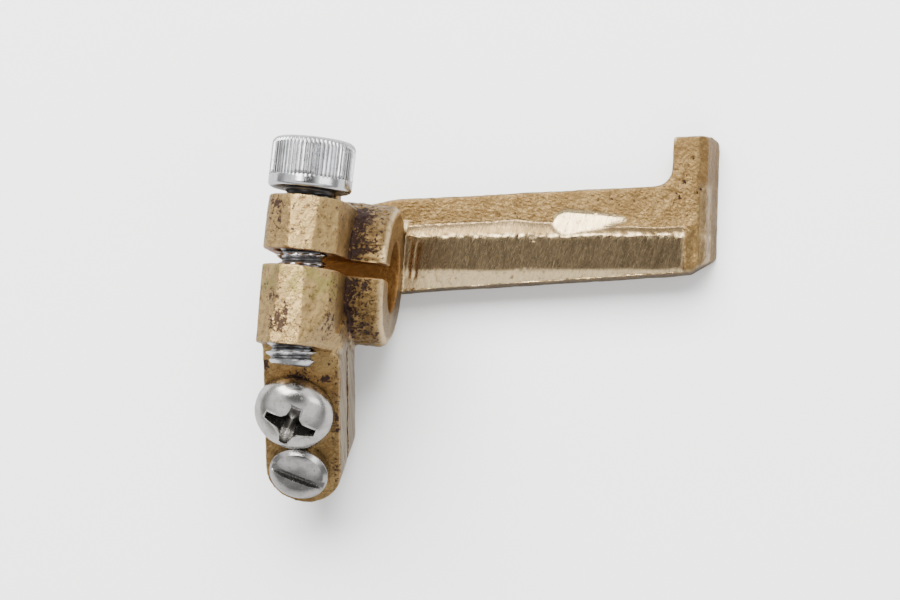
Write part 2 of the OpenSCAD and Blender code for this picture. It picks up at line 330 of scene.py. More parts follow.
steels = {
    # the last colour of each finish darkens the recesses: grime and painted shade
    "brightSteel": {"tone": (0.70, 0.705, 0.72), "dull": (0.50, 0.50, 0.51), "rough": 0.17, "pitch": 0.12,
                    "turn": (0, 0, 90), "lines": 0.15, "dirt": 0.35, "grimeAndShade": (0.050, 0.048, 0.050)},
    "satinSteel": {"tone": (0.56, 0.545, 0.52), "dull": (0.40, 0.385, 0.36), "rough": 0.22, "pitch": 0.12,
                   "turn": (0, 0, 50), "lines": 0.35, "dirt": 0.35, "grimeAndShade": (0.045, 0.040, 0.036)},
    "darkSteel": {"tone": (0.42, 0.41, 0.40), "dull": (0.30, 0.29, 0.28), "rough": 0.18, "pitch": 0.10,
                  "turn": (0, 0, 74), "lines": 0.6, "dirt": 0.45, "grimeAndShade": (0.040, 0.035, 0.030)},
}


def steelMaterial(name):
    look = steels[name]
    material, tree, shader = newMaterial(name, look["tone"])
    place = millimetres(tree)
    grimeAndShade = addNode(tree, "ShaderNodeAttribute", attribute_name="grimeAndShade").outputs["Fac"]
    mottle = noise(tree, place, 1.1, 4.0, 0.6)
    grain = noise(tree, place, 11.0, 3.0, 0.6)
    lines = strokesAt(tree, place, look["turn"], look["pitch"])
    dirt = useGroup(tree, specks, {"Vector": place, "Size": 0.25, "Cover": 0.25})["Mask"]
    color = mixColor(tree, remap(tree, mottle, 0.38, 0.68), look["tone"], look["dull"])
    color = mixColor(tree, math2(tree, "MULTIPLY", dirt, look["dirt"]), color, (0.10, 0.085, 0.07))
    # painted shade with grime: the attribute darkens the thread roots, knurl grooves, socket, head
    # undersides, neck, cross recess and slot
    color = mixColor(tree, math2(tree, "MULTIPLY", grimeAndShade, 0.96), color, look["grimeAndShade"])
    rough = math2(tree, "MULTIPLY_ADD", mottle, 0.14)
    rough.node.inputs[2].default_value = look["rough"] - 0.07
    rough = math2(tree, "ADD", rough, math2(tree, "MULTIPLY", math2(tree, "MAXIMUM", dirt, grimeAndShade), 0.2))
    height = math2(tree, "ADD", math2(tree, "MULTIPLY", grain, 0.25),
                   math2(tree, "MULTIPLY", lines["Height"], look["lines"]))
    finishMaterial(tree, shader, color, rough, height, 0.012 * mm)
    return material


def floorMaterial():
    material, tree, shader = newMaterial("paleFloor", studio["floorColor"])
    place = millimetres(tree)
    tone = remap(tree, noise(tree, place, 0.01, 2.0), 0.3, 0.7)
    color = mixColor(tree, tone, studio["floorColor"], tuple(c * 0.99 for c in studio["floorColor"]))
    gloss = addNode(tree, "ShaderNodeLightPath").outputs["Is Glossy Ray"]
    color = mixColor(tree, gloss, color, tuple(c * studio["floorSheen"] for c in studio["floorColor"]))
    rough = remap(tree, tone, 0, 1, 0.85, 0.9)
    finishMaterial(tree, shader, color, rough, noise(tree, place, 0.5), 0.002 * mm, metallic=0.0)
    return material


def makeFloor():
    low = cadBounds[0][2]
    half = studio["floorSize"] * mm / 2
    mesh = bpy.data.meshes.new("floor")
    corners = [(-half, -half, low), (half, -half, low), (half, half, low), (-half, half, low)]
    mesh.from_pydata(corners, [], [(0, 1, 2, 3)])
    mesh.materials.append(floorMaterial())
    floor = bpy.data.objects.new("floor", mesh)
    bpy.context.scene.collection.objects.link(floor)


# Sky: grey = (low to middle by height) * (1 to high near straight up) + far * step(along Y)
def makeSky():
    world = bpy.data.worlds.new("sky")
    bpy.context.scene.world = world
    world.use_nodes = True
    tree = world.node_tree
    tree.nodes.clear()
    way = addNode(tree, "ShaderNodeTexCoord").outputs["Generated"]
    parts = addNode(tree, "ShaderNodeSeparateXYZ", {"Vector": way}).outputs
    grey = remap(tree, parts["Z"], 0.25, 0.60, studio["skyLow"], studio["skyMiddle"])
    grey = math2(tree, "MULTIPLY", grey, remap(tree, parts["Z"], 0.82, 0.975, 1.0, studio["skyHigh"]))
    far = remap(tree, parts["Y"], 0.12, 0.70, 0.0, studio["skyFar"])
    strength = math2(tree, "ADD", grey, far)
    glow = addNode(tree, "ShaderNodeBackground", {"Color": (1, 1, 1, 1), "Strength": strength})
    tree.links.new(glow.outputs[0], tree.nodes.new("ShaderNodeOutputWorld").inputs[0])


makeCamera()
makeLamps()
makeSky()
makeFloor()
print("camera, light and floor made")

# mesh helpers


# Joins rings of points, closed around, and closes both ends with a fan to the ring's middle
def shell(rings, grimeAndShade):
    count, around = rings.shape[:2]
    index = np.arange(count * around).reshape(count, around)
    step = np.roll(index, -1, axis=1)
    quads = np.stack([index[:-1], step[:-1], step[1:], index[1:]], axis=-1).reshape(-1, 4)
    points = np.concatenate([rings.reshape(-1, 3), rings[:1].mean(axis=1), rings[-1:].mean(axis=1)])
    first, last = count * around, count * around + 1
    start = np.stack([np.full(around, first), step[0], index[0]], axis=-1)
    end = np.stack([np.full(around, last), index[-1], step[-1]], axis=-1)
    grimeAndShade = np.broadcast_to(grimeAndShade, rings.shape[:2])
    return points, quads, np.concatenate([start, end]), np.append(grimeAndShade.ravel(), [grimeAndShade[0, 0], grimeAndShade[-1, 0]])


# Volume under the faces, by the divergence theorem: sum of a . (b x c) / 6
def volume(points, quads, fans):
    corners = np.concatenate([quads[:, [0, 1, 2]], quads[:, [0, 2, 3]], fans])
    a, b, c = (points[corners[:, i]] for i in range(3))
    return np.einsum("ij,ij->i", a, np.cross(b, c)).sum() / 6


def makePiece(name, shells, material, sharp=40):
    points, faces, grimeAndShade, base = [], [], [], 0
    # each shell's last item darkens its recesses: grime and painted shade
    for spots, quads, fans, dirt in shells:
        if volume(spots, quads, fans) < 0:
            quads, fans = quads[:, ::-1], fans[:, ::-1]
        points.append(spots)
        grimeAndShade.append(dirt)
        faces += (quads + base).tolist() + (fans + base).tolist()
        base += len(spots)
    mesh = bpy.data.meshes.new(name)
    mesh.from_pydata(np.concatenate(points) * mm, [], faces)
    mesh.attributes.new("grimeAndShade", "FLOAT", "POINT").data.foreach_set("value", np.concatenate(grimeAndShade))
    mesh.materials.append(material)
    mesh.shade_smooth()
    mesh.set_sharp_from_angle(angle=math.radians(sharp))
    piece = bpy.data.objects.new(name, mesh)
    bpy.context.scene.collection.objects.link(piece)
    return piece


# Carries local points to the object: origin + x * right + y * forward + z * axis
def placed(local, origin, axis, right):
    axis = np.array(axis) / np.linalg.norm(axis)
    forward = np.cross(axis, right)
    return np.array(origin) + local @ np.stack([right, forward, axis])


# Points at radius r and height z around a local axis: (r cos a, r sin a, z)
def around(radius, height, angle):
    return np.stack([radius * np.cos(angle), radius * np.sin(angle), height + 0 * angle], axis=-1)


def smooth(value, low, high):
    t = np.clip((value - low) / (high - low), 0, 1)
    return t * t * (3 - 2 * t)


# Right-hand thread: radius = major - depth * flank(phase), phase = z / pitch - angle / turn
def shank(screw, steps=64, perPitch=12):
    pitch, length, major = screw["pitch"], screw["length"], screw["major"]
    depth = 0.61 * pitch
    z = np.linspace(-length, 0.02, int(length / pitch * perPitch))[:, None]
    angle = np.linspace(0, 2 * np.pi, steps, endpoint=False)[None, :]
    phase = np.mod(z / pitch - angle / (2 * np.pi), 1)
    flank = np.clip((np.abs(phase - 0.5) * 2 - 0.10) / 0.72, 0, 1)
    radius = major - depth * flank
    radius = radius + (major - radius) * smooth(z, -0.45, -0.1) * 0.8
    tip = major - depth * 1.05 + (z + length) * 0.9
    radius = np.minimum(radius, tip)
    # painted shade with grime: darker in the thread roots and at the neck under the head
    grimeAndShade = np.maximum(smooth(flank, 0.45, 0.95) * 0.9, smooth(z, -0.9, -0.2) * screw["neckDirt"])
    return around(radius, z, angle), grimeAndShade


# clamp screw

capScrew = {
    "length": 14.29, "pitch": 0.794, "major": 2.085, "neckDirt": 0.95,
    "headR": 3.43, "headH": 4.17, "band": 0.95, "round": 0.62,
    "ridges": 60, "ridgeDepth": 0.17, "hexWidth": 3.57, "hexDepth": 2.1, "lip": 0.16,
}


# Head profile as rows of (height, radius, knurl amount, hexagon amount)
def capRows():
    s = capScrew
    top, r = s["headH"], s["headR"]
    rows = [(0.0, 1.6, 0, 0), (0.0, r - 0.42, 0, 0), (0.02, r - 0.30, 0, 0), (0.10, r - 0.12, 0, 0)]
    rows += [(0.22, r - 0.03, 0, 0), (0.32, r, 0, 0)]
    rows += [(h, r, 0, 0) for h in np.linspace(0.4, s["band"] - 0.01, 4)]
    rows += [(s["band"] + 0.04, r - 0.02, 1, 0)]
    straight = top - s["round"]
    rows += [(h, r, 1, 0) for h in np.linspace(s["band"] + 0.1, straight - 0.05, 10)]
    for a in np.linspace(0, np.pi / 2, 10):
        rows.append((straight + s["round"] * math.sin(a), r - s["round"] * (1 - math.cos(a)),
                     max(0.0, 1 - a / 0.9), 0))
    hexR = s["hexWidth"] / math.sqrt(3)
    rows += [(top, hexR + 0.28, 0, 0), (top, hexR + 0.10, 0, 0), (top - 0.04, hexR + 0.03, 0, 0)]
    rows += [(top - s["lip"], hexR, 0, 1), (top - 0.6, hexR, 0, 1), (top - s["hexDepth"], hexR, 0, 1)]
    rows += [(top - s["hexDepth"] - 0.05, hexR * 0.93, 0, 1), (top - s["hexDepth"] - 0.5, 0.3, 0, 0)]
    return np.array(rows, float)


# Knurl: r - depth * groove(n a). Hexagon: r cos(30) / cos(a mod 60 - 30), mixed in by its amount
def capHead():
    s = capScrew
    rows = capRows()
    height, radius, knurl, hexagon = (rows[:, i:i + 1] for i in range(4))
    angle = np.linspace(0, 2 * np.pi, s["ridges"] * 8, endpoint=False)[None, :]
    groove = np.clip(np.cos(s["ridges"] * angle) * 0.8 + 0.35, 0, 1)
    radius = radius - s["ridgeDepth"] * knurl * groove
    third = np.pi / 3
    flat = np.cos(third / 2) / np.cos(np.mod(angle, third) - third / 2)
    radius = radius * (1 + hexagon * (flat - 1))
    # painted shade with grime: darker under the head, in the knurl grooves and in the socket
    under = (height < 0.05) * 0.95
    grimeAndShade = np.maximum(np.maximum(knurl * smooth(groove, 0.75, 1.0) * 0.5, hexagon * 0.5), under)
    return around(radius, height, angle), grimeAndShade


def makeClampScrew():
    low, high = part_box("clamp_screw")
    seat = high.y / mm - capScrew["headH"]
    origin = ((low.x + high.x) / 2 / mm, seat, (low.z + high.z) / 2 / mm)
    axis, right = (0, 1, 0), np.array([1.0, 0, 0])
    shells = [shell(placed(part, origin, axis, right), grimeAndShade) for part, grimeAndShade in (shank(capScrew), capHead())]
    piece = makePiece("clampScrew", shells, steelMaterial("brightSteel"), 45)
    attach(piece, "clamp_screw")
    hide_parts("clamp_screw")


# tongue screws

tongue = {"tilt": 36.5, "front": 9.86, "centre": -1.2}

panScrew = {
    "length": 6.35, "pitch": 0.794, "major": 1.75, "at": 7.65, "x": -0.55, "neckDirt": 0.9,
    "headR": 3.33, "headH": 2.46, "rim": 0.42, "power": 2.25,
    "recessTurn": -19, "recessDepth": 1.7, "wing": 0.50, "star": 1.66, "starReach": 1.5, "lip": 0.06,
    # wings of the recess: reach, slope of the taper, least half width
    "sideWings": (2.15, 0.6, 0), "lowWing": (2.1, 0.35, 0), "highWing": (1.72, 1.0, 0.44),
}

slottedScrew = {
    "length": 6.35, "pitch": 0.635, "major": 1.585, "at": 13.6, "x": -0.2, "neckDirt": 0.9,
    "headR": 2.52, "wall": 0.85, "topR": 2.16, "top": 1.56, "dome": 0.34,
    "slotTurn": -19, "slotWidth": 0.68, "slotDepth": 0.52,
}


def onTongue(local, screw):
    tilt = math.radians(tongue["tilt"])
    normal = np.array([0, -math.sin(tilt), math.cos(tilt)])
    upward = np.array([0, math.cos(tilt), math.sin(tilt)])
    right = np.array([1.0, 0, 0])
    origin = right * (tongue["centre"] + screw["x"]) - upward * screw["at"] + normal * tongue["front"]
    return placed(local, origin, normal, right)


# Cross recess: with f the inner distance to four tapered wings or a star between them, |u| ^ 0.6 + |v| ^ 0.6
# under its size, height = lip * exp(-((f + 0.04) / 0.07) ^ 2) - depth * min(f / 0.25, 1) ^ 0.7
def crossRecess(x, y, s):
    turn = math.radians(s["recessTurn"])
    u, v = x * math.cos(turn) + y * math.sin(turn), y * math.cos(turn) - x * math.sin(turn)
    star = (s["star"] - np.abs(u) ** 0.6 - np.abs(v) ** 0.6) * 0.5
    inner = np.minimum(star, s["starReach"] - np.hypot(u, v))
    wings = ((np.abs(u), np.abs(v), s["sideWings"]), (-v, np.abs(u), s["lowWing"]),
             (v, np.abs(u), s["highWing"]))
    for a, b, (reach, slope, least) in wings:
        end = np.minimum(reach - a, (reach - a) * slope)
        half = np.maximum(s["wing"] * (1.5 - 0.42 * np.clip(a, 0, None)), least)
        inner = np.maximum(inner, np.minimum(end, np.minimum(half - b, a + half)))
    deep = np.clip(inner / 0.25, 0, 1) ** 0.7
    # lit is where light falls into the recess; the second value returned is the recess's painted shade,
    # growing with depth and weaker where lit
    lit = np.exp(-(u / 0.36) ** 2) * smooth(-v, -0.6, 0.2)
    lip = s["lip"] * np.exp(-((inner + 0.04) / 0.07) ** 2)
    return lip - s["recessDepth"] * deep * (1 - 0.22 * lit), deep * (1 - 0.62 * lit)


# Pan head: z = rim + (top - rim) * (1 - (r / R) ^ p) ^ (1 / p), plus the cross recess
def panHead(s, steps=440, rings=128):
    angle = np.linspace(0, 2 * np.pi, steps, endpoint=False)[None, :]
    share = np.sin(np.linspace(np.pi / 2, 0.012, rings))[:, None]
    r = s["headR"] * share
    z = s["rim"] + (s["headH"] - s["rim"]) * np.clip(1 - share ** s["power"], 0, 1) ** (1 / s["power"])
    top = around(r, z, angle)
    shift, dark = crossRecess(top[..., 0], top[..., 1], s)
    top[..., 2] += shift
    foot = [around(np.array([[k]]), np.array([[h]]), angle) for k, h in
            ((1.4, 0.0), (s["headR"] - 0.12, 0.0), (s["headR"] - 0.03, 0.05), (s["headR"], 0.16))]
    # painted shade with grime: darker under the head and in the recess
    grimeAndShade = np.concatenate([np.full((4, steps), 0.6), smooth(dark, 0.3, 0.9) * 0.9])
    return np.concatenate(foot + [top]), grimeAndShade


# Slotted head: cylinder, cone and low dome, less slot depth where |v| < half the slot's width
def slottedHead(s, steps=320, rings=78):
    angle = np.linspace(0, 2 * np.pi, steps, endpoint=False)[None, :]
    share = np.linspace(1, 0.004, rings)[:, None]
    r = s["topR"] * share
    z = s["top"] - s["dome"] * share ** 3.6
    top = around(r, z, angle)
    turn = math.radians(s["slotTurn"])
    cone = [(s["headR"], s["wall"] - 0.04), (s["headR"] - 0.02, s["wall"] + 0.03)]
    cone += [(s["headR"] + (s["topR"] - s["headR"]) * k, s["wall"] + (s["top"] - s["dome"] - s["wall"]) * k)
             for k in np.linspace(0.12, 0.97, 14)]
    foot = [(1.2, 0.0), (s["headR"] - 0.06, 0.0), (s["headR"], 0.06)]
    foot += [(s["headR"], h) for h in np.linspace(0.15, s["wall"] - 0.1, 9)]
    lower = np.concatenate([around(np.array([[k]]), np.array([[h]]), angle) for k, h in foot + cone])
    rings = np.concatenate([lower, top])
    v = rings[..., 1] * math.cos(turn) - rings[..., 0] * math.sin(turn)
    inside = 1 - smooth(np.abs(v), s["slotWidth"] / 2 - 0.03, s["slotWidth"] / 2 + 0.03)
    floor = s["top"] - s["slotDepth"]
    cut = inside * (rings[..., 2] > floor)
    rings[..., 2] = rings[..., 2] * (1 - cut) + floor * cut
    # a slight painted shade on the slot
    return rings, cut * 0.05


def makeTongueScrew(name, node, screw, head, metal):
    shells = [shell(onTongue(part, screw), grimeAndShade) for part, grimeAndShade in (shank(screw), head(screw))]
    piece = makePiece(name, shells, steelMaterial(metal), 38)
    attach(piece, node)
    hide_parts(node)


makeClampScrew()
makeTongueScrew("panScrew", "pan_screw", panScrew, panHead, "satinSteel")
makeTongueScrew("slottedScrew", "slotted_screw", slottedScrew, slottedHead, "darkSteel")
print("screws made")

# cast arm

casting = {
    "voxel": 0.14, "relax": 2, "mostTriangles": 190000,
    "screwX": -1.55, "screwZ": 9.0, "seatY": 5.1, "barrelR": 5.95,
    # file flats on the jaw noses: lower y, upper y, angle from +Z towards +X, lean along Y, reach, shine;
    # shine is the share of filed colour, lower on the side flats, where cast skin stays and which it also
    # darkens as painted shade
    "noseFlats": [
        (0.3, 5.3, -77, 0, 3.24, 0.2), (0.3, 5.3, -35.5, 0, 3.05, 0.25), (0.3, 5.3, 6, 1, 3.05, 1.0),
        (0.3, 5.3, 44, -1, 3.05, 0.45), (0.3, 5.3, 84, 0, 3.08, 0.2),
        (-7.4, -0.3, -87, -2, 2.94, 0.2), (-7.4, -0.3, -45, 1, 3.02, 0.35), (-7.4, -0.3, -3, -1, 3.02, 1.0),
        (-7.4, -0.3, 39, 0, 3.02, 0.5), (-7.4, -0.3, 70, -24, 2.80, 0.3),
    ],
    "skinDepth": 0.07, "pitDepth": 0.12,
    "sawMiddle": 6.46,
    "crownZ": -3.475, "ridgeY": 3.75, "ridgeRise": 5.6, "armStart": 4.8, "groundEnd": 23.9,
    # the oval file mark: start and end along the arm, half width, centre line, tilt of its floor
    "ovalStart": 12.7, "ovalEnd": 19.0, "ovalHalf": 1.05, "ovalAcross": 1.15, "ovalTilt": 12.5,
    # ground front: bevel width at places along the arm, then drops and widths of the bevel, face and facet
    "bevelPlaces": (0, 4, 8, 12, 18, 24), "bevelWidths": (1.05, 1.4, 1.55, 1.4, 0.9, 0.85),
    "bevelDrop": 0.5, "faceWidth": 2.7, "faceDrop": 0.43, "facetWidth": 3.4, "facetDrop": 1.85,
    # file grooves at the arm's root: x, half width, depth
    "rootGrooves": ((5.35, 0.10, 0.08), (5.90, 0.11, 0.09)),
    # pits in the ground front and the tab: middle, spread, number
    "pitClusters": (((23.2, 8.8, -4), (1.3, 0.22, 0), 7), ((16.0, 8.1, -4), (4.0, 0.7, 0), 5),
                    ((27.8, 9.9, -4), (0.7, 0.5, 0), 11), ((28.6, 12.0, -4), (0.6, 1.2, 0), 3)),
    # flat spot face under the clamp screw's head: radius kept flat, height searched, drop below the face
    "seatR": 3.55, "seatBand": 0.35, "seatDrop": 0.03,
}


# Pseudo-random value in 0..1 for whole-number cells: frac(sin(cell . k) * 43758.5)
def cellRandom(cell, seed):
    mixed = cell @ np.array([12.9898, 78.233, 37.719]) + seed * 17.13
    return np.mod(np.sin(mixed) * 43758.5453, 1.0)


# Value noise: smooth blend of random values at the eight corners of each cell, in -1..1
def valueNoise(points, size, seed):
    spot = points / size
    base = np.floor(spot)
    part = spot - base
    part = part * part * (3 - 2 * part)
    total = np.zeros(len(points))
    for dx in (0, 1):
        for dy in (0, 1):
            for dz in (0, 1):
                corner = np.array([dx, dy, dz])
                weight = np.prod(np.where(corner == 1, part, 1 - part), axis=1)
                total += weight * cellRandom(base + corner, seed)
    return total * 2 - 1


# Distance to the nearest of one random point per cell, in cells
def cellNoise(points, size, seed):
    spot = points / size
    base = np.floor(spot)
    best = np.full(len(points), 9.0)
    for dx in (-1, 0, 1):
        for dy in (-1, 0, 1):
            for dz in (-1, 0, 1):
                cell = base + np.array([dx, dy, dz])
                point = cell + np.stack([cellRandom(cell, seed + k) for k in (1, 2, 3)], axis=1)
                best = np.minimum(best, np.linalg.norm(spot - point, axis=1))
    return best


def remeshedNode(node):
    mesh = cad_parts[node].data.copy()
    mesh.transform(Matrix.Scale(1 / mm, 4))
    weld = bmesh.new()
    weld.from_mesh(mesh)
    bmesh.ops.remove_doubles(weld, verts=weld.verts, dist=0.0005)
    weld.to_mesh(mesh)
    weld.free()
    work = bpy.data.objects.new("work", mesh)
    bpy.context.scene.collection.objects.link(work)
    remesh = work.modifiers.new("voxels", "REMESH")
    remesh.mode = "VOXEL"
    remesh.voxel_size = casting["voxel"]
    done = bpy.data.meshes.new_from_object(work.evaluated_get(bpy.context.evaluated_depsgraph_get()))
    bpy.data.objects.remove(work)
    return done


def readMesh(mesh):
    points = np.empty(len(mesh.vertices) * 3)
    mesh.vertices.foreach_get("co", points)
    edges = np.empty(len(mesh.edges) * 2, int)
    mesh.edges.foreach_get("vertices", edges)
    return points.reshape(-1, 3), edges.reshape(-1, 2)


# Mean of each point's neighbours
def neighbourMean(points, edges, count):
    a, b = edges.T
    total = np.stack([np.bincount(a, points[b, i], len(points))
                      + np.bincount(b, points[a, i], len(points)) for i in range(3)], axis=1)
    return total / count[:, None]


def meshNormals(mesh, points):
    mesh.vertices.foreach_set("co", points.ravel())
    mesh.update()
    normals = np.empty(len(points) * 3)
    mesh.vertex_normals.foreach_get("vector", normals)
    return normals.reshape(-1, 3)


# Files a flat: a point beyond the plane moves back to it along the plane's normal
def fileFlat(points, where, centre, normal, reach):
    over = (points - centre) @ normal - reach
    over = np.where(where, np.clip(over, 0, None), 0)
    return points - over[:, None] * normal, over > 0


def fileJaws(points):
    c = casting
    filed = np.zeros(len(points))
    for low, high, angle, lean, reach, shine in c["noseFlats"]:
        a, b = math.radians(angle), math.radians(lean)
        normal = np.array([math.sin(a) * math.cos(b), math.sin(b), math.cos(a) * math.cos(b)])
        centre = np.array([c["screwX"], (low + high) / 2 - 0.9 * (lean < -9), c["screwZ"]])
        where = (points[:, 1] > low) & (points[:, 1] < high) & (points[:, 2] > 5.6)
        points, touched = fileFlat(points, where, centre, normal, reach)
        filed[touched] = shine
    return points, filed


# Distances along and across the arm's ridge, in mm
def ridgeFrame(points):
    c = casting
    rise = math.radians(c["ridgeRise"])
    x, y = points[:, 0] - c["armStart"], points[:, 1] - c["ridgeY"]
    return x * math.cos(rise) + y * math.sin(rise), y * math.cos(rise) - x * math.sin(rise)


# Ground front: height = crown - drop; below the ridge the drop is a chain of straight slopes, and above it
# the bevel is drop * (across / width) ^ 2
def grindFront(points, normals):
    c = casting
    along, across = ridgeFrame(points)
    width = np.interp(along, c["bevelPlaces"], c["bevelWidths"]) + 0.10 * valueNoise(points, 2.0, 51)
    bend = across + 0.22 * valueNoise(points * np.array([1, 0.3, 1]), 2.2, 53) * smooth(-across, 1.0, 2.6)
    places = np.array([-c["faceWidth"] - c["facetWidth"], -c["faceWidth"], 0.0])
    drops = np.array([c["facetDrop"], c["faceDrop"], 0.0])
    below = np.interp(bend, places, drops)
    above = c["bevelDrop"] * np.clip(across / width, 0, 1) ** 2
    height = c["crownZ"] - np.where(across < 0, below, above)
    height = height + 0.015 * valueNoise(points * np.array([1, 0.3, 1]), 1.5, 55)
    height = height + 0.09 * valueNoise(points, 0.28, 57) * np.exp(-((across - 0.10) / 0.22) ** 2)
    mask = (points[:, 0] > c["armStart"] + 0.05) & (points[:, 2] < c["crownZ"] + 0.3) & (normals[:, 2] > 0.35)
    runout = 1 - smooth(along, c["groundEnd"] - 0.3, c["groundEnd"] + 0.1)
    amount = mask * (1 - smooth(across - width, 0.0, 0.25)) * runout
    amount = amount * smooth(across, -6.1, -5.9)
    points = points.copy()
    points[:, 2] += amount * (height - points[:, 2])
    return points, amount * (1 - smooth(across - width, -0.12, 0.06))


# Oval file mark, blunt at its start and pointed at its end:
# half width = 1.28 * W * sqrt(1 - (1 - t / 0.22) ^ 2) * (1 - t) ^ 0.62, with t / 0.22 held at 1 beyond 0.22
def fileOval(points):
    c = casting
    along, across = ridgeFrame(points)
    t = np.clip((along - c["ovalStart"]) / (c["ovalEnd"] - c["ovalStart"]), 0, 1)
    half = c["ovalHalf"] * 1.28 * np.sqrt(1 - (1 - np.clip(t / 0.22, 0, 1)) ** 2) * (1 - t) ** 0.62
    middle = c["ovalAcross"] + 0.35 * t
    mask = (1 - smooth(np.abs(across - middle) - half, -0.30, 0.16)) * (points[:, 2] > c["crownZ"] - 1.2)
    mask = mask * (t > 0) * (t < 1)
    floor = c["crownZ"] - 0.09 - math.tan(math.radians(c["ovalTilt"])) * (across - 0.1)
    points = points.copy()
    points[:, 2] += mask * (floor - points[:, 2])
    return points, mask


# Sum of soft bells at listed places: amount * exp(-|(p - middle) / spread| ^ 2)
def bells(points, places):
    total = np.zeros(len(points))
    for middle, spread, amount in places:
        total += amount * np.exp(-(((points - np.array(middle)) / np.array(spread)) ** 2).sum(axis=1))
    return total


sootPlaces = [
    ((-3.9, 4.2, 11.2), (1.2, 0.9, 1.8), 0.80), ((-3.6, 2.2, 11.2), (1.2, 1.1, 1.6), 0.66),
    ((-0.3, 3.9, 12.0), (0.8, 0.6, 1.2), 0.40), ((1.5, 3.0, 9.5), (0.5, 2.2, 2.4), 0.45),
    ((-2.4, -5.4, 11.7), (1.0, 1.1, 1.4), 0.92), ((-2.9, -3.1, 11.5), (0.9, 1.1, 1.4), 0.66),
    ((-1.4, -3.7, 12.1), (0.6, 0.5, 1.0), 0.45), ((1.3, -5.0, 9.5), (0.6, 2.2, 2.6), 0.60),
    ((1.3, -1.8, 9.5), (0.5, 1.4, 2.4), 0.42), ((0.2, -6.5, 11.6), (1.0, 0.5, 1.2), 0.40),
    ((-1.5, -9.0, 5.2), (1.6, 0.7, 1.2), 0.46), ((1.3, -8.6, 5.6), (0.7, 1.2, 1.4), 0.40),
    ((-4.2, -8.6, 5.9), (0.45, 0.6, 0.6), 0.95), ((-1.4, -9.5, 5.2), (1.3, 0.40, 0.5), 0.90),
    ((0.7, -9.3, 5.3), (0.5, 0.35, 0.5), 0.85),
    ((1.0, -12.6, 2.0), (0.5, 1.4, 1.0), 0.40),
]


stainPlaces = [
    ((-1.2, -9.2, 4.6), (3.0, 1.4, 2.5), 0.50), ((0.9, -11.0, 3.2), (0.8, 2.0, 1.6), 0.30),
    ((0.9, -14.6, 0.6), (0.6, 1.2, 1.0), 0.15), ((-3.4, -16.2, -0.5), (0.8, 0.8, 0.8), 0.35),
]


# Root groove: exp(-((x - spot - 0.04 y) / half) ^ 2), faded in and out along y
def rootGroove(x, y, spot, half):
    return np.exp(-((x - spot - 0.04 * y) / half) ** 2) * smooth(y, 0.2, 0.6) * (1 - smooth(y, 3.2, 3.7))


